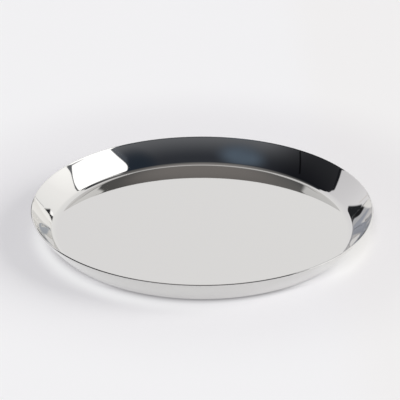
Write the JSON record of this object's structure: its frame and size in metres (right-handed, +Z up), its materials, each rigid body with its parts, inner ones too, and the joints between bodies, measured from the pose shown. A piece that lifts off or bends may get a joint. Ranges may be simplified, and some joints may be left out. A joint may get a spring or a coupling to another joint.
{
  "type": "round serving tray",
  "caption": "Round shallow serving tray with a flat mirror-polished steel floor, a gently curved flared wall and a plain rounded rim, standing on low bonded non-slip pads.",
  "frame": {"origin": "middle of the tray on the table top it stands on", "axes": "+Z up along the tray's axis of revolution, +X to the right and +Y to the back as pictured"},
  "size_m": [0.35, 0.35, 0.0289],
  "materials": {
    "polished_steel": "polished",
    "foot_silicone": "matte",
    "adhesive": "matte"
  },
  "bodies": {
    "root": {"tray_pan": "polished_steel", "foot_rear_right": "foot_silicone", "foot_rear_left": "foot_silicone", "foot_front_left": "foot_silicone", "foot_front_right": "foot_silicone", "adhesive_rear_right": "adhesive", "adhesive_rear_left": "adhesive", "adhesive_front_left": "adhesive", "adhesive_front_right": "adhesive"}
  },
  "joints": []
}
